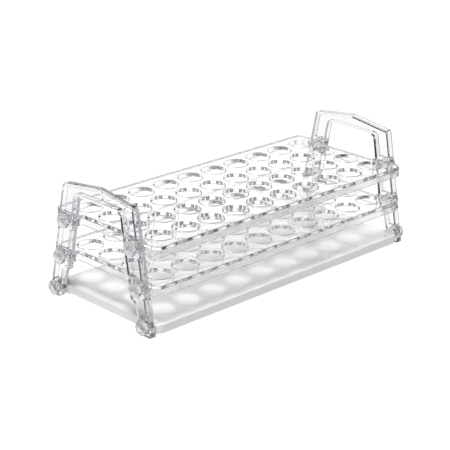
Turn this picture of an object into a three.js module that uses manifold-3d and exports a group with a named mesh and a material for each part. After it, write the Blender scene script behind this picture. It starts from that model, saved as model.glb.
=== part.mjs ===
// Three-tier test tube rack. Millimetres, +Z up, +X along the length, floor at Z = 0.
// Two end frames carry two perforated plates and a plain base tray. Every tier is
// fixed to every leg by one push-in pin that lies along X.
import * as THREE from 'three';
import { mergeVertices } from 'three/addons/utils/BufferGeometryUtils.js';
import Module from 'manifold-3d';

const wasm = await Module();
wasm.setup();

// Tube grid
const COLUMNS = 10;
const ROWS = 4;
const PITCH = 22;
const HOLE_RADIUS = 8.75;
const HOLE_SEGMENTS = 24;

// Tiers: shared footprint, and height of each top surface above the floor.
// The four corners reach out to the frames, and the end edges are set back between them.
const TIER_LENGTH = 230;
const TIER_WIDTH = 98;
const TIER_CORNER_RADIUS = 5;
const PLATE_SETBACK = 3.7;
const TRAY_SETBACK = 1.7;
const SETBACK_CORNER_RADIUS = 0.8;
const CORNER_PAST_PIN = 7;
const UPPER_TOP = 58;
const MIDDLE_TOP = 32.5;
const TRAY_TOP = 7;
const PLATE_THICKNESS = 2.6;
const PLATE_SKIRT_DEPTH = 7;
const PLATE_WALL = 1.6;
const TRAY_THICKNESS = 2;
const TRAY_SKIRT_DEPTH = 6;
const TRAY_WALL = 1.8;

// End frames: a web with raised rims, standing across each end
const GAP = 0.3;
const TIER_END = TIER_LENGTH / 2;
const FRAME_INNER = TIER_END + GAP;
const FRAME_OUTER = 120.2;
const WEB = 1.8;
const RIM = 1.8;
const FOOT_OUTER = 48.3;
const FOOT_INNER = 39.8;
const FOOT_HEIGHT = 11.4;
const SHOULDER_Y = 33.4;
const SHOULDER_Z = 79.5;
const SHOULDER_RADIUS = 2.5;
const PEAK_Z = 84;
const PEAK_RADIUS = 2.5;
const STEP_OUTER_Y = 34.2;
const STEP_OUTER_Z = 19.3;
const STEP_OUTER_RADIUS = 1.2;
const STEP_INNER_Y = 30.7;
const STEP_INNER_Z = 21;
const STEP_INNER_RADIUS = 0.6;
const WINDOW_TOP_Y = 21;
const WINDOW_TOP_Z = 74;
const WINDOW_CORNER_RADIUS = 3.5;
const BLOCK_HALF_HEIGHT = 5.2;

// Pins: each tier's pin position on the leg, and the pin's own shape
const PLATE_PIN_DROP = 3.6;
const PIN_SEATS = {
  upper: { y: 32, z: UPPER_TOP - PLATE_PIN_DROP },
  middle: { y: 36.6, z: MIDDLE_TOP - PLATE_PIN_DROP },
  base: { y: 42.6, z: 5.8 },
};
const PIN_RADIUS = 2.4;
const PIN_BORE = PIN_RADIUS + GAP;
const PIN_HEAD_RADIUS = 4.8;
const PIN_HEAD_INNER = FRAME_OUTER + GAP;
const PIN_HEAD_OUTER = 123;
const PIN_HEAD_EDGE = 0.5;
const PIN_RECESS_RADIUS = 2.1;
const PIN_RECESS_DEPTH = 1.7;
const PIN_TIP = 112.3;
const PIN_TIP_CHAMFER = 0.5;
const PIN_SEGMENTS = 18;

// Lugs: sockets for the pins at the ends of each tier
const LUG_START = 111;
const LUG_RADIUS = 3.7;
const LUG_BORE_END = 111.9;
const LUG_SEGMENTS = 9;

// Working values: overrun of a cutting body, steps in a rounded corner, vertex merging
const CUT = 1;
const ARC_SEGMENTS = 4;
const MERGE_DISTANCE = 1e-4;

const CLEAR = { color: 0xe9ecf4, roughness: 0.08, metalness: 0, opacity: 0.35, transparent: true };
const WHITE = { color: 0xeeefec, roughness: 0.42, metalness: 0 };

function toManifold(geometry) {
  const bare = geometry.clone();
  bare.deleteAttribute('normal');
  bare.deleteAttribute('uv');
  const merged = mergeVertices(bare, MERGE_DISTANCE);
  return new wasm.Manifold(new wasm.Mesh({
    numProp: 3,
    vertProperties: Float32Array.from(merged.attributes.position.array),
    triVerts: Uint32Array.from(merged.index.array),
  }));
}

function toGeometry(solid) {
  const mesh = solid.getMesh();
  const geometry = new THREE.BufferGeometry();
  geometry.setAttribute('position', new THREE.BufferAttribute(mesh.vertProperties, 3));
  geometry.setIndex(new THREE.BufferAttribute(mesh.triVerts, 1));
  geometry.computeVertexNormals();
  return geometry;
}

// Prism over an XY shape, from zLow to zHigh.
function prismZ(shape, zLow, zHigh) {
  const geometry = new THREE.ExtrudeGeometry(shape, { depth: zHigh - zLow, bevelEnabled: false });
  return geometry.translate(0, 0, zLow);
}

// Prism over a YZ shape, from xLow to xHigh.
function prismX(shape, xLow, xHigh) {
  const geometry = new THREE.ExtrudeGeometry(shape, { depth: xHigh - xLow, bevelEnabled: false });
  geometry.applyMatrix4(new THREE.Matrix4().makeBasis(
    new THREE.Vector3(0, 1, 0), new THREE.Vector3(0, 0, 1), new THREE.Vector3(1, 0, 0),
  ));
  return geometry.translate(xLow, 0, 0);
}

// Points of an arc, both ends included.
function arcPoints(x, y, radius, from, sweep, segments) {
  return Array.from({ length: segments + 1 }, (_, k) => {
    const angle = from + (sweep * k) / segments;
    return new THREE.Vector2(x + radius * Math.cos(angle), y + radius * Math.sin(angle));
  });
}

function circlePoints(x, y, radius, segments) {
  return arcPoints(x, y, radius, 0, Math.PI * 2, segments).slice(0, -1);
}

// Corner list [[x, y, radius], ...] as a shape whose corners are arcs.
function roundedShape(corners) {
  const points = [];
  corners.forEach(([x, y, radius], i) => {
    const corner = new THREE.Vector2(x, y);
    if (!radius) {
      points.push(corner);
      return;
    }
    const [px, py] = corners[(i + corners.length - 1) % corners.length];
    const [nx, ny] = corners[(i + 1) % corners.length];
    const back = new THREE.Vector2(px, py).sub(corner).normalize();
    const ahead = new THREE.Vector2(nx, ny).sub(corner).normalize();
    const half = Math.acos(back.dot(ahead)) / 2;
    const reach = radius / Math.tan(half);
    const start = corner.clone().addScaledVector(back, reach);
    const end = corner.clone().addScaledVector(ahead, reach);
    const centre = corner.clone().addScaledVector(
      back.clone().add(ahead).normalize(), radius / Math.sin(half),
    );
    const from = start.clone().sub(centre).angle();
    let sweep = end.clone().sub(centre).angle() - from;
    if (sweep > Math.PI) sweep -= Math.PI * 2;
    if (sweep < -Math.PI) sweep += Math.PI * 2;
    points.push(...arcPoints(centre.x, centre.y, radius, from, sweep, ARC_SEGMENTS));
  });
  return new THREE.Shape(points);
}

// Counter-clockwise corner list moved inwards by a distance. Radii follow the offset.
function insetCorners(corners, distance) {
  const count = corners.length;
  const edges = corners.map(([x, y], i) => {
    const [nx, ny] = corners[(i + 1) % count];
    const along = new THREE.Vector2(nx - x, ny - y).normalize();
    const start = new THREE.Vector2(x - along.y * distance, y + along.x * distance);
    return { start, along };
  });
  return corners.map(([, , radius], i) => {
    const before = edges[(i + count - 1) % count];
    const after = edges[i];
    const turn = before.along.cross(after.along);
    const t = after.start.clone().sub(before.start).cross(after.along) / turn;
    const corner = before.start.clone().addScaledVector(before.along, t);
    const grown = turn > 0 ? Math.max(radius - distance, 0) : radius + distance;
    return [corner.x, corner.y, radius ? grown : 0];
  });
}

// Corner list mirrored across the long axis or across the short one, still counter-clockwise.
function mirrorY(corners) {
  return corners.map(([x, y, radius]) => [x, -y, radius]).reverse();
}

function mirrorX(corners) {
  return corners.map(([x, y, radius]) => [-x, y, radius]).reverse();
}

function forEachSeat(tier, visit) {
  const { y, z } = PIN_SEATS[tier];
  for (const end of [-1, 1]) {
    for (const side of [-1, 1]) visit(end, side, side * y, z);
  }
}

// Prism along X at either end: the X values count outwards from the middle.
function endPrism(shape, end, inner, outer) {
  return end > 0 ? prismX(shape, inner, outer) : prismX(shape, -outer, -inner);
}

function pinBore(end, y, z, inner, outer) {
  const circle = new THREE.Shape(circlePoints(y, z, PIN_BORE, PIN_SEGMENTS));
  return toManifold(endPrism(circle, end, inner, outer));
}

// Socket block around a pin: round below, and either round or flush with the tier above.
function lugShape(y, z, top) {
  const lower = arcPoints(y, z, LUG_RADIUS, Math.PI, Math.PI, LUG_SEGMENTS);
  const upper = top > z + LUG_RADIUS - GAP
    ? arcPoints(y, z, LUG_RADIUS, 0, Math.PI, LUG_SEGMENTS).slice(1, -1)
    : [new THREE.Vector2(y + LUG_RADIUS, top), new THREE.Vector2(y - LUG_RADIUS, top)];
  return new THREE.Shape([...lower, ...upper]);
}

function addLugs(body, tier, top) {
  let solid = body;
  forEachSeat(tier, (end, side, y, z) => {
    solid = solid.add(toManifold(endPrism(lugShape(y, z, top), end, LUG_START, TIER_END)));
    solid = solid.subtract(pinBore(end, y, z, LUG_BORE_END, TIER_END + CUT));
  });
  return solid;
}

// Footprint of a tier, with its end edges set back between the two corners of each end.
function tierCorners(tier, setback) {
  const innerY = PIN_SEATS[tier].y - CORNER_PAST_PIN;
  const corner = [
    [TIER_END - setback, innerY, SETBACK_CORNER_RADIUS],
    [TIER_END, innerY, SETBACK_CORNER_RADIUS],
    [TIER_END, TIER_WIDTH / 2, TIER_CORNER_RADIUS],
  ];
  const rightEnd = [...mirrorY(corner), ...corner];
  return [...rightEnd, ...mirrorX(rightEnd)];
}

function tierShell(corners, outline, top, depth, thickness, wall) {
  const inner = roundedShape(insetCorners(corners, wall));
  return toManifold(prismZ(outline, top - depth, top))
    .subtract(toManifold(prismZ(inner, top - depth - CUT, top - thickness)));
}

function tubePlate(tier, top) {
  const corners = tierCorners(tier, PLATE_SETBACK);
  const outline = roundedShape(corners);
  for (let column = 0; column < COLUMNS; column += 1) {
    for (let row = 0; row < ROWS; row += 1) {
      const x = (column - (COLUMNS - 1) / 2) * PITCH;
      const y = (row - (ROWS - 1) / 2) * PITCH;
      outline.holes.push(new THREE.Path(circlePoints(x, y, HOLE_RADIUS, HOLE_SEGMENTS)));
    }
  }
  const shell = tierShell(corners, outline, top, PLATE_SKIRT_DEPTH, PLATE_THICKNESS, PLATE_WALL);
  return toGeometry(addLugs(shell, tier, top));
}

function baseTray() {
  const corners = tierCorners('base', TRAY_SETBACK);
  const outline = roundedShape(corners);
  const shell = tierShell(corners, outline, TRAY_TOP, TRAY_SKIRT_DEPTH, TRAY_THICKNESS, TRAY_WALL);
  return toGeometry(addLugs(shell, 'base', PIN_SEATS.base.z + 2 * LUG_RADIUS));
}

// Outline of an end frame in the YZ plane: an arch that is open at the floor.
function frameCorners() {
  const leg = [
    [FOOT_INNER, 0, 0],
    [FOOT_OUTER, 0, 0],
    [SHOULDER_Y, SHOULDER_Z, SHOULDER_RADIUS],
  ];
  const opening = [
    [WINDOW_TOP_Y, WINDOW_TOP_Z, WINDOW_CORNER_RADIUS],
    [STEP_INNER_Y, STEP_INNER_Z, STEP_INNER_RADIUS],
    [STEP_OUTER_Y, STEP_OUTER_Z, STEP_OUTER_RADIUS],
  ];
  const peak = [0, PEAK_Z, PEAK_RADIUS];
  return [...leg, peak, ...mirrorX(leg), ...mirrorX(opening), ...opening];
}

function endFrame(end) {
  const corners = frameCorners();
  const recess = roundedShape(insetCorners(corners, RIM));
  let pocket = toManifold(endPrism(recess, end, FRAME_INNER + WEB, FRAME_OUTER + CUT));
  const keepSolid = (zLow, zHigh) => {
    const box = new THREE.BoxGeometry(2 * PIN_HEAD_OUTER + CUT, 2 * TIER_WIDTH, zHigh - zLow);
    pocket = pocket.subtract(toManifold(box.translate(0, 0, (zLow + zHigh) / 2)));
  };
  keepSolid(-CUT, FOOT_HEIGHT);
  for (const tier of ['middle', 'upper']) {
    const { z } = PIN_SEATS[tier];
    keepSolid(z - BLOCK_HALF_HEIGHT, z + BLOCK_HALF_HEIGHT);
  }
  let solid = toManifold(endPrism(roundedShape(corners), end, FRAME_INNER, FRAME_OUTER));
  solid = solid.subtract(pocket);
  for (const tier of Object.keys(PIN_SEATS)) {
    const { y, z } = PIN_SEATS[tier];
    for (const side of [-1, 1]) {
      solid = solid.subtract(pinBore(end, side * y, z, FRAME_INNER - CUT, FRAME_OUTER + CUT));
    }
  }
  return toGeometry(solid);
}

// Pin turned about its own axis: recessed head, plain shank, chamfered tip.
function pinGeometry() {
  const headLow = PIN_HEAD_INNER - PIN_TIP;
  const headHigh = PIN_HEAD_OUTER - PIN_TIP;
  const profile = [
    [0, 0],
    [PIN_RADIUS - PIN_TIP_CHAMFER, 0],
    [PIN_RADIUS, PIN_TIP_CHAMFER],
    [PIN_RADIUS, headLow],
    [PIN_HEAD_RADIUS, headLow],
    [PIN_HEAD_RADIUS, headHigh - PIN_HEAD_EDGE],
    [PIN_HEAD_RADIUS - PIN_HEAD_EDGE, headHigh],
    [PIN_RECESS_RADIUS, headHigh],
    [PIN_RECESS_RADIUS, headHigh - PIN_RECESS_DEPTH],
    [0, headHigh - PIN_RECESS_DEPTH],
  ].map(([r, h]) => new THREE.Vector2(r, h));
  return toGeometry(toManifold(new THREE.LatheGeometry(profile, PIN_SEGMENTS)));
}

function addPiece(group, name, geometry, look) {
  const mesh = new THREE.Mesh(geometry, new THREE.MeshStandardMaterial(look));
  mesh.name = name;
  group.add(mesh);
  return mesh;
}

const rack = new THREE.Group();
rack.name = 'test_tube_rack';

addPiece(rack, 'upper_tube_plate', tubePlate('upper', UPPER_TOP), CLEAR);
addPiece(rack, 'middle_tube_plate', tubePlate('middle', MIDDLE_TOP), CLEAR);
addPiece(rack, 'base_tray', baseTray(), WHITE);
addPiece(rack, 'left_end_frame', endFrame(-1), CLEAR);
addPiece(rack, 'right_end_frame', endFrame(1), CLEAR);

for (const tier of Object.keys(PIN_SEATS)) {
  forEachSeat(tier, (end, side, y, z) => {
    const name = `${tier}_pin_${end < 0 ? 'left' : 'right'}_${side < 0 ? 'front' : 'rear'}`;
    const pin = addPiece(rack, name, pinGeometry(), CLEAR);
    pin.rotation.z = -end * (Math.PI / 2);
    pin.position.set(end * PIN_TIP, y, z);
  });
}

export default rack;
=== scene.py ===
import math
from types import SimpleNamespace

import bmesh
import bpy
from mathutils import Matrix, Vector
from mathutils.geometry import delaunay_2d_cdt


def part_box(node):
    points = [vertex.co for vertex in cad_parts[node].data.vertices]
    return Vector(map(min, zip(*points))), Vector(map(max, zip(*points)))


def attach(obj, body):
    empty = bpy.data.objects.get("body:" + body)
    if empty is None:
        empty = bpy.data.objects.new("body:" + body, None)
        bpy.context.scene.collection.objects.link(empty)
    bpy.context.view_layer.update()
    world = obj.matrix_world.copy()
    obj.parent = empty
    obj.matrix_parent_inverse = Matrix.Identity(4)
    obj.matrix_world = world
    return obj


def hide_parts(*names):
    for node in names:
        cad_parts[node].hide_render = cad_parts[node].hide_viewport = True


# Three-tier test tube rack: clear plates and end frames, a white tray and push-in pins.
# Metres, +Z up, +X along the length. Places come from the CAD frame; the sizes below are
# those that a bounding box can't give.
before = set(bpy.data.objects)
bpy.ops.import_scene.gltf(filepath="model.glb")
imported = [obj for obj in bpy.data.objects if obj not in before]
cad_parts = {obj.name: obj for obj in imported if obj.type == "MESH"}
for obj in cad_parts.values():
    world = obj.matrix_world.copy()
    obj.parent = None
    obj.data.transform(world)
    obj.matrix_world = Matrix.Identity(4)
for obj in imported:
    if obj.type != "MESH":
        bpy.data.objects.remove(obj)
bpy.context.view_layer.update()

MM = 0.001

# Tube grid
COLUMNS = 10
ROWS = 4
PITCH = 22 * MM
HOLE_RADIUS = 8.75 * MM
HOLE_EDGE = 0.25 * MM

# Tiers. Each end is set back between its two corners, which reach the end frame.
TIER_CORNER_RADIUS = 5 * MM
SETBACK_CORNER_RADIUS = 0.8 * MM
CORNER_PAST_PIN = 7 * MM
PLATE = SimpleNamespace(
    setback=3.7 * MM, thickness=2.6 * MM, wall=1.6 * MM, skirt=7 * MM, edge=0.3 * MM)
TRAY = SimpleNamespace(
    setback=1.7 * MM, thickness=2 * MM, wall=1.8 * MM, skirt=6 * MM, edge=0.7 * MM)
TRAY_TOP = 7 * MM
RIM_EDGE = 0.25 * MM
INNER_FILLET = 0.6 * MM

# Satin part of a plate's skirt: how squarely a face looks sideways, how near the outside it
# is, and how far below the top it starts
SATIN_FACING = 0.95
SATIN_DEPTH = 0.15 * MM
GLOSS_STRIP = 0.5 * MM

# Socket blocks at the tiers' corners
LUG_DEPTH = 4 * MM
LUG_RADIUS = 3.7 * MM
SOCKET_DEPTH = 3.1 * MM

# End frames. The corners are (across, height, radius).
WEB = 1.8 * MM
RIM = 1.8 * MM
FOOT_OUTER = 48.3 * MM
FOOT_INNER = 39.8 * MM
FOOT_HEIGHT = 11.4 * MM
SHOULDER = (33.4 * MM, 79.5 * MM, 2.5 * MM)
PEAK_RADIUS = 2.5 * MM
STEP_OUTER = (34.2 * MM, 19.3 * MM, 1.2 * MM)
STEP_INNER = (30.7 * MM, 21 * MM, 0.6 * MM)
WINDOW_CORNER = (21 * MM, 74 * MM, 3.5 * MM)
BLOCK_HALF_HEIGHT = 5.2 * MM
FRAME_EDGE = 0.2 * MM
POCKET_CORNER_RADIUS = 0.8 * MM
POCKET_FILLET = 0.35 * MM
POCKET_DRAFT = 0.12 * MM

# Pins
PIN_RADIUS = 2.4 * MM
PIN_CLEARANCE = 0.3 * MM
PIN_HEAD_THICKNESS = 2.5 * MM
PIN_HEAD_EDGE = 0.5 * MM
PIN_RECESS_RADIUS = 2.1 * MM
PIN_RECESS_DEPTH = 1.7 * MM

# Fineness of the meshes
HOLE_STEPS = 72
LUG_STEPS = 48
PIN_STEPS = 48
ARC_STEPS = 10
FILLET_STEPS = 4
LEAST_RADIUS = 0.02 * MM
MERGE = 0.001 * MM
DEGENERATE = MERGE / 10
SMOOTH_ANGLE = math.radians(35)

# Weighted normals: the largest face at a point decides, and areas this close count as equal
LARGEST_DECIDES = 100
EQUAL_AREAS = 0.001

# Triangulation: keep what lies inside the edges, and take points closer than this as one
INSIDE_EDGES = 1
SAME_POINT = 1e-9

# Places from the CAD frame
TIERS = {"upper": "upper_tube_plate", "middle": "middle_tube_plate", "base": "base_tray"}
_, TIER_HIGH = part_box("upper_tube_plate")
TIER_END = TIER_HIGH.x
TIER_HALF_WIDTH = TIER_HIGH.y
FRAME_LOW, FRAME_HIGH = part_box("right_end_frame")
PIN_LOW, PIN_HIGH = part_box("upper_pin_right_rear")


def seat(tier):
    """Y and Z of a tier's rear pins."""
    low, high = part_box(f"{tier}_pin_right_rear")
    middle = (low + high) / 2
    return middle.y, middle.z


# ---------------------------------------------------------------- outlines

def mirror_across_v(corners):
    return [(-u, v, radius) for u, v, radius in reversed(corners)]


def mirror_across_u(corners):
    return [(u, -v, radius) for u, v, radius in reversed(corners)]


def inset(corners, distance):
    """Counter-clockwise corners moved inwards by a distance. Radii follow the offset."""
    count = len(corners)
    lines = []
    for i, (u, v, _) in enumerate(corners):
        next_u, next_v, _ = corners[(i + 1) % count]
        along = Vector((next_u - u, next_v - v)).normalized()
        lines.append((Vector((u - along.y * distance, v + along.x * distance)), along))
    moved = []
    for i, (_, _, radius) in enumerate(corners):
        start, before = lines[i - 1]
        end, after = lines[i]
        turn = before.cross(after)
        t = (end - start).cross(after) / turn
        corner = start + before * t
        grown = radius - distance if turn > 0 else radius + distance
        moved.append((corner.x, corner.y, max(grown, LEAST_RADIUS)))
    return moved


def rounded(corners):
    """Points of an outline whose corners are arcs of ARC_STEPS steps."""
    points = []
    count = len(corners)
    for i, (u, v, radius) in enumerate(corners):
        corner = Vector((u, v))
        back = (Vector(corners[i - 1][:2]) - corner).normalized()
        ahead = (Vector(corners[(i + 1) % count][:2]) - corner).normalized()
        half = math.acos(max(-1, min(1, back.dot(ahead)))) / 2
        centre = corner + (back + ahead).normalized() * (radius / math.sin(half))
        start = corner + back * (radius / math.tan(half)) - centre
        sweep = math.pi - 2 * half
        if back.cross(ahead) > 0:
            sweep = -sweep
        for k in range(ARC_STEPS + 1):
            turned = Matrix.Rotation(sweep * k / ARC_STEPS, 2) @ start
            points.append(centre + turned)
    return points


def circle(u, v, radius, steps):
    turn = 2 * math.pi / steps
    return [Vector((u + radius * math.cos(k * turn), v + radius * math.sin(k * turn)))
            for k in range(steps)]


def clipped(corners, axis, low, high, radius):
    """Corners cut off below low and above high on one axis (0 is u, 1 is v)."""
    for sign, limit in ((1, low), (-1, -high)):
        kept = []
        for i, corner in enumerate(corners):
            before = corners[i - 1]
            inside = sign * corner[axis] >= limit
            was_inside = sign * before[axis] >= limit
            if inside != was_inside:
                share = (limit - sign * before[axis]) / (sign * (corner[axis] - before[axis]))
                kept.append((before[0] + (corner[0] - before[0]) * share,
                             before[1] + (corner[1] - before[1]) * share, radius))
            if inside:
                kept.append(corner)
        corners = kept
    return corners


def quarter(from_inset, from_height, to_inset, to_height, level_start=True):
    """(inset, height) steps of a quarter round. It starts level and ends upright, or the reverse."""
    steps = []
    for k in range(FILLET_STEPS + 1):
        angle = math.pi / 2 * k / FILLET_STEPS
        a, b = math.sin(angle), 1 - math.cos(angle)
        if not level_start:
            a, b = 1 - math.cos(angle), math.sin(angle)
        steps.append((from_inset + (to_inset - from_inset) * a,
                      from_height + (to_height - from_height) * b))
    return steps


# ---------------------------------------------------------------- mesh building

def upright(u, v, height):
    return Vector((u, v, height))


def lengthwise(end):
    """Places an outline in the YZ plane, at a distance from the middle towards one end."""
    return lambda u, v, height: Vector((end * height, u, v))


class Body:
    """Collects the faces of one closed body. place(u, v, height) gives a point in space."""

    def __init__(self, place):
        self.mesh = bmesh.new()
        self.place = place
        self.flat = {}

    def loop(self, points, height):
        verts = [self.mesh.verts.new(self.place(p[0], p[1], height)) for p in points]
        self.flat.update((v, Vector((p[0], p[1]))) for v, p in zip(verts, points))
        return verts

    def band(self, one, other):
        for i in range(len(one)):
            self.mesh.faces.new((one[i - 1], one[i], other[i], other[i - 1]))

    def wall(self, outline_at, profile):
        """Bands through the outline at each (inset, height). Returns the first and last loops."""
        loops = [self.loop(outline_at(distance), height) for distance, height in profile]
        for one, other in zip(loops, loops[1:]):
            self.band(one, other)
        return loops[0], loops[-1]

    def cap(self, loops):
        """Flat face bounded by loops: the first is its outside, the others are holes."""
        corners = [v for loop in loops for v in loop]
        loop_of = [number for number, loop in enumerate(loops) for _ in loop]
        edges = []
        for loop in loops:
            start = len(edges)
            edges += [(start + i, start + (i + 1) % len(loop)) for i in range(len(loop))]
        spots = [self.flat[v] for v in corners]
        _, _, triangles, sources, _, _ = delaunay_2d_cdt(spots, edges, [], INSIDE_EDGES, SAME_POINT)
        for triangle in triangles:
            i, j, k = sorted(sources[n][0] for n in triangle)
            # All loops are counter-clockwise, so a triangle inside a hole turns that way too.
            turn = (spots[j] - spots[i]).cross(spots[k] - spots[i])
            if loop_of[i] == 0 or loop_of[i] != loop_of[k] or turn < 0:
                self.mesh.faces.new([corners[i], corners[j], corners[k]])

    def finish(self, name):
        bmesh.ops.remove_doubles(self.mesh, verts=self.mesh.verts, dist=MERGE)
        bmesh.ops.dissolve_degenerate(self.mesh, edges=self.mesh.edges, dist=DEGENERATE)
        bmesh.ops.recalc_face_normals(self.mesh, faces=self.mesh.faces)
        data = bpy.data.meshes.new(name)
        self.mesh.to_mesh(data)
        self.mesh.free()
        return linked(name, data)


def linked(name, data):
    """A new object in the scene."""
    made = bpy.data.objects.new(name, data)
    bpy.context.scene.collection.objects.link(made)
    return made


def combined(piece, tools, operation):
    """Joins tools to a piece, or cuts them out of it, and deletes them."""
    for tool in tools:
        change = piece.modifiers.new("combine", "BOOLEAN")
        change.object = tool
        change.operation = operation
        change.solver = "EXACT"
    bpy.context.view_layer.update()
    graph = bpy.context.evaluated_depsgraph_get()
    data = bpy.data.meshes.new_from_object(piece.evaluated_get(graph))
    piece.modifiers.clear()
    old = piece.data
    piece.data = data
    data.name = old.name + "_mesh"
    bpy.data.meshes.remove(old)
    for tool in tools:
        bpy.data.objects.remove(tool)
    return piece


def smoothed(piece):
    """Smooth curved faces, with flat faces kept flat by their larger area."""
    for polygon in piece.data.polygons:
        polygon.use_smooth = True
    piece.data.set_sharp_from_angle(angle=SMOOTH_ANGLE)
    weigh = piece.modifiers.new("weighted normals", "WEIGHTED_NORMAL")
    weigh.keep_sharp = True
    weigh.weight = LARGEST_DECIDES
    weigh.thresh = EQUAL_AREAS
    return piece


def satin_sides(piece, material):
    """The long outer faces of a plate's skirt are satin below a glossy strip along their top."""
    piece.data.materials.append(material)
    satin_slot = len(piece.data.materials) - 1
    strip_bottom = max(v.co.z for v in piece.data.vertices) - GLOSS_STRIP
    for face in piece.data.polygons:
        flat = abs(face.normal.y) > SATIN_FACING
        outside = abs(face.center.y) > TIER_HALF_WIDTH - SATIN_DEPTH
        if flat and outside and face.center.z < strip_bottom:
            face.material_index = satin_slot


def finished(piece, node, body, material):
    smoothed(piece)
    piece.data.materials.clear()
    piece.data.materials.append(material)
    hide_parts(node)
    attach(piece, body)
    return piece


# ---------------------------------------------------------------- tiers

def tier_corners(tier, setback):
    inner = seat(tier)[0] - CORNER_PAST_PIN
    corner = [
        (TIER_END - setback, inner, SETBACK_CORNER_RADIUS),
        (TIER_END, inner, SETBACK_CORNER_RADIUS),
        (TIER_END, TIER_HALF_WIDTH, TIER_CORNER_RADIUS),
    ]
    right_end = mirror_across_u(corner) + corner
    return right_end + mirror_across_v(right_end)


def bar(name, end, outline, inner, outer):
    """A straight bar along X at one end."""
    body = Body(lengthwise(end))
    start, finish = body.wall(lambda _: outline, [(0, inner), (0, outer)])
    body.cap([start])
    body.cap([finish])
    return body.finish(name)


def lug(end, y, z, top):
    """Socket block round a pin. It is round all over, or square above the pin up to a given top."""
    outline = circle(y, z, LUG_RADIUS, LUG_STEPS)
    if top < z + LUG_RADIUS:
        lower_half = outline[LUG_STEPS // 2:] + outline[:1]
        outline = lower_half + [Vector((y + LUG_RADIUS, top)), Vector((y - LUG_RADIUS, top))]
    return bar("lug", end, outline, TIER_END - LUG_DEPTH, TIER_END - RIM_EDGE)


def socket_bore(end, y, z):
    outline = circle(y, z, PIN_RADIUS + PIN_CLEARANCE, PIN_STEPS)
    return bar("rod", end, outline, TIER_END - SOCKET_DEPTH, TIER_END + MM)


def with_sockets(piece, tier, lug_top):
    y, z = seat(tier)
    spots = [(end, side * y) for end in (-1, 1) for side in (-1, 1)]
    combined(piece, [lug(end, at, z, lug_top) for end, at in spots], "UNION")
    return combined(piece, [socket_bore(end, at, z) for end, at in spots], "DIFFERENCE")


def tier_body(name, tier, top, kind, side_loops, holes):
    """A top with a skirt. side_loops are extra (inset, height) steps down its outer side."""
    body = Body(upright)
    corners = tier_corners(tier, kind.setback)
    bottom = top - kind.skirt
    under = top - kind.thickness
    wall = kind.wall
    profile = (
        quarter(kind.edge, top, 0, top - kind.edge)
        + side_loops
        + quarter(0, bottom + RIM_EDGE, RIM_EDGE, bottom, level_start=False)
        + quarter(wall - RIM_EDGE, bottom, wall, bottom + RIM_EDGE)
        + quarter(wall, under - INNER_FILLET, wall + INNER_FILLET, under, level_start=False)
    )
    upper, lower = body.wall(lambda distance: rounded(inset(corners, distance)), profile)
    hole_profile = (
        quarter(HOLE_EDGE, top, 0, top - HOLE_EDGE)
        + quarter(0, under + HOLE_EDGE, HOLE_EDGE, under, level_start=False)
    )
    rims = [body.wall(lambda grow: circle(u, v, HOLE_RADIUS + grow, HOLE_STEPS), hole_profile)
            for u, v in holes]
    body.cap([upper] + [rim[0] for rim in rims])
    body.cap([lower] + [rim[1] for rim in rims])
    return body.finish(name)


def tube_holes():
    return [((column - (COLUMNS - 1) / 2) * PITCH, (row - (ROWS - 1) / 2) * PITCH)
            for column in range(COLUMNS) for row in range(ROWS)]


def tube_plate(tier, name):
    """Plate with tube holes. A loop down its side marks where the gloss strip ends."""
    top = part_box(TIERS[tier])[1].z
    piece = tier_body(name, tier, top, PLATE, [(0, top - GLOSS_STRIP)], tube_holes())
    return with_sockets(piece, tier, top - PLATE.thickness / 2)


def base_tray(name):
    piece = tier_body(name, "base", TRAY_TOP, TRAY, [], [])
    return with_sockets(piece, "base", math.inf)


# ---------------------------------------------------------------- end frames

def frame_corners():
    leg = [(FOOT_INNER, 0, FRAME_EDGE), (FOOT_OUTER, 0, FRAME_EDGE), SHOULDER]
    opening = [WINDOW_CORNER, STEP_INNER, STEP_OUTER]
    peak = (0, FRAME_HIGH.z, PEAK_RADIUS)
    return leg + [peak] + mirror_across_v(leg) + mirror_across_v(opening) + opening


def pockets(corners):
    """Outlines of the recesses between the joint blocks: the arch, and two on each leg."""
    recess = inset(corners, RIM)
    upper_z = seat("upper")[1]
    middle_z = seat("middle")[1]
    found = [clipped(recess, 1, upper_z + BLOCK_HALF_HEIGHT, math.inf, POCKET_CORNER_RADIUS)]
    leg = clipped(recess, 0, 0, math.inf, POCKET_CORNER_RADIUS)
    for low, high in ((middle_z + BLOCK_HALF_HEIGHT, upper_z - BLOCK_HALF_HEIGHT),
                      (FOOT_HEIGHT, middle_z - BLOCK_HALF_HEIGHT)):
        outline = clipped(leg, 1, low, high, POCKET_CORNER_RADIUS)
        found += [outline, mirror_across_v(outline)]
    return found


def end_frame(end, name):
    corners = frame_corners()
    inner, outer = FRAME_LOW.x, FRAME_HIGH.x
    body = Body(lengthwise(end))
    profile = (
        quarter(FRAME_EDGE, inner, 0, inner + FRAME_EDGE)
        + quarter(0, outer - FRAME_EDGE, FRAME_EDGE, outer, level_start=False)
    )
    back, front = body.wall(lambda distance: rounded(inset(corners, distance)), profile)
    bores = []
    for tier in TIERS:
        y, z = seat(tier)
        for side in (-1, 1):
            bores.append(body.wall(
                lambda _: circle(side * y, z, PIN_RADIUS + PIN_CLEARANCE, PIN_STEPS),
                [(0, inner), (0, outer)]))
    mouths = []
    floor_at = inner + WEB
    for outline in pockets(corners):
        steps = (
            quarter(-FRAME_EDGE / 2, outer, 0, outer - FRAME_EDGE / 2)
            + quarter(POCKET_DRAFT, floor_at + POCKET_FILLET,
                      POCKET_DRAFT + POCKET_FILLET, floor_at, level_start=False)
        )
        mouth, bed = body.wall(lambda distance: rounded(inset(outline, distance)), steps)
        mouths.append(mouth)
        body.cap([bed])
    body.cap([back] + [bore[0] for bore in bores])
    body.cap([front] + [bore[1] for bore in bores] + mouths)
    return body.finish(name)


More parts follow.
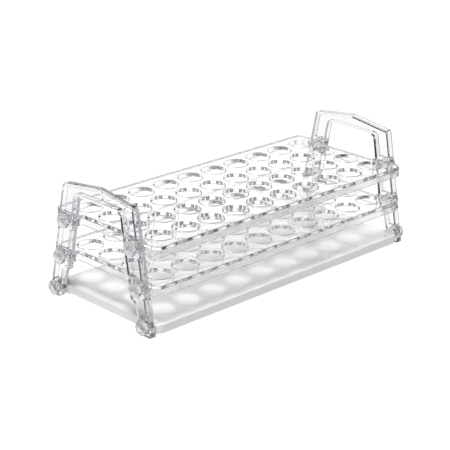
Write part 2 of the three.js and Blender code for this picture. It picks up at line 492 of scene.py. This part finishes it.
# ---------------------------------------------------------------- pins

def pin(name, end, y, z):
    """Turned pin: chamfered tip, plain shank, recessed head."""
    tip, top = PIN_LOW.x, PIN_HIGH.x
    shoulder = top - PIN_HEAD_THICKNESS
    head = (PIN_HIGH.z - PIN_LOW.z) / 2
    chamfer = PIN_HEAD_EDGE
    profile = [
        (PIN_RADIUS - chamfer, tip),
        (PIN_RADIUS, tip + chamfer),
        (PIN_RADIUS, shoulder),
        (head - RIM_EDGE, shoulder),
        (head, shoulder + RIM_EDGE),
    ]
    profile += quarter(head, top - PIN_HEAD_EDGE, head - PIN_HEAD_EDGE, top, level_start=False)
    profile += [
        (PIN_RECESS_RADIUS + RIM_EDGE, top),
        (PIN_RECESS_RADIUS, top - RIM_EDGE),
        (PIN_RECESS_RADIUS - RIM_EDGE / 2, top - PIN_RECESS_DEPTH),
    ]
    body = Body(lengthwise(end))
    start, finish = body.wall(lambda radius: circle(y, z, radius, PIN_STEPS), profile)
    body.cap([start])
    body.cap([finish])
    return body.finish(name)


# ---------------------------------------------------------------- shader nodes

def node_material(name):
    material = bpy.data.materials.new(name)
    material.use_nodes = True
    tree = material.node_tree
    tree.nodes.clear()
    return material, tree


def add(tree, kind, sockets=None, **settings):
    """A new node. A socket takes a plain value or another node's output."""
    node = tree.nodes.new(kind)
    for key, value in settings.items():
        setattr(node, key, value)
    for key, value in (sockets or {}).items():
        if isinstance(value, bpy.types.NodeSocket):
            tree.links.new(value, node.inputs[key])
        else:
            node.inputs[key].default_value = value
    return node


def grey(level):
    return (level, level, level, 1)


def noise(tree, scale, detail):
    """Noise in the object's own space."""
    place = add(tree, "ShaderNodeTexCoord").outputs["Object"]
    sockets = {"Vector": place, "Scale": scale, "Detail": detail}
    return add(tree, "ShaderNodeTexNoise", sockets).outputs["Fac"]


def remapped(tree, value, before, after):
    """A value with its range before stretched over the range after."""
    sockets = {"Value": value, "From Min": before[0], "From Max": before[1],
               "To Min": after[0], "To Max": after[1]}
    return add(tree, "ShaderNodeMapRange", sockets).outputs["Result"]


def bumps(tree, height, strength, distance):
    sockets = {"Height": height, "Strength": strength, "Distance": distance}
    return add(tree, "ShaderNodeBump", sockets).outputs["Normal"]


def ramp(tree, value, stops):
    """Colour through (position, colour) stops."""
    node = add(tree, "ShaderNodeValToRGB", {"Fac": value})
    elements = node.color_ramp.elements
    while len(elements) < len(stops):
        elements.new(1)
    for element, (position, colour) in zip(elements, stops):
        element.position = position
        element.color = colour
    return node.outputs["Color"]


def mixed(tree, share, one, other):
    """One shader, and as much of the other as the share says."""
    return add(tree, "ShaderNodeMixShader", {0: share, 1: one, 2: other}).outputs["Shader"]


# ---------------------------------------------------------------- materials

CLEAR_COLOUR = (0.965, 0.966, 0.975, 1)
CLEAR_IOR = 1.56
# The part of the noise's range that is spread over the roughness
HAZE_RANGE = (0.35, 0.75)
# Light that a clear wall passes on to what it shades, from square on (0) to edge on (1)
SHADE = ((0.35, grey(0.895)), (0.95, (0.62, 0.62, 0.65, 1)))
WHITE_TINTS = ((0.3, (0.8, 0.805, 0.795, 1)), (0.75, (0.85, 0.855, 0.845, 1)))
WHITE_IOR = 1.5


def clear_plastic(name, smoothest, roughest, clarity=1):
    """Moulded clear plastic: cloudy patches of roughness and shallow flow waves."""
    material, tree = node_material(name)
    haze = noise(tree, scale=60, detail=4)
    flow = noise(tree, scale=90, detail=2)
    plastic = add(tree, "ShaderNodeBsdfPrincipled", {
        "Base Color": CLEAR_COLOUR,
        "Transmission Weight": clarity,
        "IOR": CLEAR_IOR,
        "Roughness": remapped(tree, haze, HAZE_RANGE, (smoothest, roughest)),
        "Normal": bumps(tree, flow, strength=0.1, distance=0.2 * MM),
    })
    facing = add(tree, "ShaderNodeLayerWeight", {"Blend": 0.4}).outputs["Facing"]
    shade = add(tree, "ShaderNodeBsdfTransparent", {"Color": ramp(tree, facing, SHADE)})
    is_shadow = add(tree, "ShaderNodeLightPath").outputs["Is Shadow Ray"]
    surface = mixed(tree, is_shadow, plastic.outputs["BSDF"], shade.outputs["BSDF"])
    add(tree, "ShaderNodeOutputMaterial", {"Surface": surface})
    return material


def white_plastic():
    """Moulded white plastic: faint clouds of tint and gloss, and a fine grain."""
    material, tree = node_material("white_plastic")
    clouds = noise(tree, scale=25, detail=5)
    grain = noise(tree, scale=1500, detail=3)
    plastic = add(tree, "ShaderNodeBsdfPrincipled", {
        "Base Color": ramp(tree, clouds, WHITE_TINTS),
        "Roughness": remapped(tree, clouds, (0, 1), (0.02, 0.09)),
        "IOR": WHITE_IOR,
        "Normal": bumps(tree, grain, strength=0.15, distance=0.05 * MM),
    })
    add(tree, "ShaderNodeOutputMaterial", {"Surface": plastic.outputs["BSDF"]})
    return material


# ---------------------------------------------------------------- studio

WHITE = grey(1)
FLOOR_HALF_SIZE = 6
FLOOR_DROP = 0.2 * MM
FLOOR_COLOUR = grey(0.1)
FLOOR_GLOW = 0.97

# The floor and the room as reflections see them. The floor's part is painted reflection: a grey glow
# that only reflected light sees, dark in front of the rack.
MIRRORED_FLOOR = (0.5, 0.5, 0.53, 1)
MIRRORED_FLOOR_Y = (-0.12, -0.08)
MIRRORED_FLOOR_GLOW = (0.05, 1)
# Brightness of the room by height (sine of the elevation), and as a share of that by heading
# in degrees from +X
ROOM_BY_HEIGHT = ((0, 0.75), (0.3, 0.55), (0.38, 0.42), (0.46, 0.06), (0.62, 0.06), (0.72, 0.9))
ROOM_BY_HEADING = (
    (-180, 1), (-25, 1), (-18, 0.04), (8, 0.04), (15, 0.8), (55, 0.8), (62, 0.03), (118, 0.03),
    (125, 1))

# The sky that lights the rack: bright at the horizon, dark above it
SKY = ((0.02, grey(0.75)), (0.12, (0.05, 0.05, 0.06, 1)))
SKY_STRENGTH = 1.1

CAMERA_AIM = Vector((-0.0050, 0.0047, 0.0295))
CAMERA_DISTANCE = 0.9897
CAMERA_HEADING = math.radians(44.84)
CAMERA_DROP = math.radians(20.97)
CAMERA_ROLL = math.radians(0.95)
CAMERA_LENS = 117.24
CAMERA_SENSOR = 36
CAMERA_CLIP_START = 0.01


def reflected(tree):
    """1 for light that was mirrored on its way, inside the clear plastic or off a glossy face."""
    depth = add(tree, "ShaderNodeLightPath").outputs["Glossy Depth"]
    return add(tree, "ShaderNodeMath", {0: depth, 1: 1}, operation="MINIMUM").outputs["Value"]


def floor():
    material, tree = node_material("floor_white")
    card = add(tree, "ShaderNodeBsdfPrincipled", {
        "Base Color": FLOOR_COLOUR,
        "Roughness": 1,
        "Specular IOR Level": 0,
        "Emission Color": WHITE,
        "Emission Strength": FLOOR_GLOW,
    })
    spot = add(tree, "ShaderNodeTexCoord").outputs["Object"]
    y = add(tree, "ShaderNodeSeparateXYZ", {"Vector": spot}).outputs["Y"]
    # Painted reflection: reflected light sees the floor as a grey glow, dark in front of the rack
    mirrored = add(tree, "ShaderNodeEmission", {
        "Color": MIRRORED_FLOOR,
        "Strength": remapped(tree, y, MIRRORED_FLOOR_Y, MIRRORED_FLOOR_GLOW),
    })
    surface = mixed(tree, reflected(tree), card.outputs["BSDF"], mirrored.outputs["Emission"])
    add(tree, "ShaderNodeOutputMaterial", {"Surface": surface})
    data = bpy.data.meshes.new("floor")
    size = FLOOR_HALF_SIZE
    data.from_pydata([(-size, -size, 0), (size, -size, 0), (size, size, 0), (-size, size, 0)],
                     [], [(0, 1, 2, 3)])
    data.materials.append(material)
    plane = linked("floor", data)
    plane.location.z = -FLOOR_DROP


def background(tree, colour, strength=1):
    sockets = {"Color": colour, "Strength": strength}
    return add(tree, "ShaderNodeBackground", sockets).outputs["Background"]


def mirrored_room(tree, direction):
    """Brightness by height times brightness by heading."""
    heading = add(tree, "ShaderNodeMath", {0: direction["Y"], 1: direction["X"]},
                  operation="ARCTAN2").outputs["Value"]
    turned = remapped(tree, heading, (-math.pi, math.pi), (0, 1))
    by_height = [(height, grey(level)) for height, level in ROOM_BY_HEIGHT]
    by_heading = [((angle + 180) / 360, grey(level)) for angle, level in ROOM_BY_HEADING]
    return add(tree, "ShaderNodeMix", {
        "Factor": 1,
        "A": ramp(tree, direction["Z"], by_height),
        "B": ramp(tree, turned, by_heading),
    }, data_type="RGBA", blend_type="MULTIPLY").outputs["Result"]


def studio_world():
    """A white backdrop for the camera, a soft sky for the light, and a room for reflections."""
    world = bpy.data.worlds.new("studio")
    bpy.context.scene.world = world
    world.use_nodes = True
    tree = world.node_tree
    tree.nodes.clear()
    place = add(tree, "ShaderNodeTexCoord").outputs["Generated"]
    direction = add(tree, "ShaderNodeSeparateXYZ", {"Vector": place}).outputs
    sky = background(tree, ramp(tree, direction["Z"], SKY), SKY_STRENGTH)
    room = background(tree, mirrored_room(tree, direction))
    unseen = mixed(tree, reflected(tree), sky, room)
    is_camera = add(tree, "ShaderNodeLightPath").outputs["Is Camera Ray"]
    surface = mixed(tree, is_camera, unseen, background(tree, WHITE))
    add(tree, "ShaderNodeOutputWorld", {"Surface": surface})


def softbox(name, place, target, width, height, power):
    data = bpy.data.lights.new(name, "AREA")
    data.shape = "RECTANGLE"
    data.size = width
    data.size_y = height
    data.energy = power
    lamp = linked(name, data)
    lamp.location = place
    aim = Vector(target) - Vector(place)
    lamp.rotation_euler = aim.to_track_quat("-Z", "Y").to_euler()
    return lamp


def lights():
    middle = (0, 0, 0)
    key = softbox("overhead", place=(-0.3, -0.18, 1.5), target=middle,
                  width=0.2, height=0.2, power=25)
    key.visible_transmission = False
    softbox("left_fill", place=(-1.2, -0.25, 0.3), target=middle,
            width=0.6, height=0.4, power=2.5)
    softbox("back_panel", place=(1.3, 1.3, 0.75), target=(0, 0, 0.1),
            width=1.8, height=0.7, power=4)


def camera():
    data = bpy.data.cameras.new("camera")
    data.lens = CAMERA_LENS
    data.sensor_width = CAMERA_SENSOR
    data.clip_start = CAMERA_CLIP_START
    view = linked("camera", data)
    forward = Vector((math.cos(CAMERA_DROP) * math.sin(CAMERA_HEADING),
                      math.cos(CAMERA_DROP) * math.cos(CAMERA_HEADING),
                      -math.sin(CAMERA_DROP)))
    level = forward.cross(Vector((0, 0, 1))).normalized()
    up = level.cross(forward)
    right = level * math.cos(CAMERA_ROLL) + up * math.sin(CAMERA_ROLL)
    top = up * math.cos(CAMERA_ROLL) - level * math.sin(CAMERA_ROLL)
    turn = Matrix((right, top, -forward)).transposed()
    view.matrix_world = Matrix.Translation(CAMERA_AIM - forward * CAMERA_DISTANCE) @ turn.to_4x4()
    bpy.context.scene.camera = view


def light_paths():
    """Enough bounces for light to cross both plates and both end frames."""
    scene = bpy.context.scene
    scene.cycles.max_bounces = 32
    scene.cycles.transmission_bounces = 32
    scene.cycles.glossy_bounces = 12
    scene.cycles.transparent_max_bounces = 48
    scene.cycles.caustics_reflective = False
    scene.cycles.caustics_refractive = False
    scene.view_settings.view_transform = "Standard"


# ---------------------------------------------------------------- the rack

clear = clear_plastic("clear_plastic", smoothest=0, roughest=0.015)
satin = clear_plastic("satin_clear_plastic", smoothest=0.22, roughest=0.3)
turned_clear = clear_plastic("turned_clear_plastic", smoothest=0.1, roughest=0.2, clarity=0.75)
white = white_plastic()

for tier in ("upper", "middle"):
    piece = tube_plate(tier, f"{tier}_plate")
    finished(piece, TIERS[tier], "tiers", clear)
    satin_sides(piece, satin)
finished(base_tray("tray"), "base_tray", "tiers", white)
finished(end_frame(-1, "left_frame_piece"), "left_end_frame", "left_frame", clear)
finished(end_frame(1, "right_frame_piece"), "right_end_frame", "right_frame", clear)

for tier in TIERS:
    y, z = seat(tier)
    for end, end_name in ((-1, "left"), (1, "right")):
        for side, side_name in ((-1, "front"), (1, "rear")):
            node = f"{tier}_pin_{end_name}_{side_name}"
            piece = pin(f"{node}_piece", end, side * y, z)
            finished(piece, node, f"{node}_body", turned_clear)

floor()
studio_world()
camera()
lights()
light_paths()
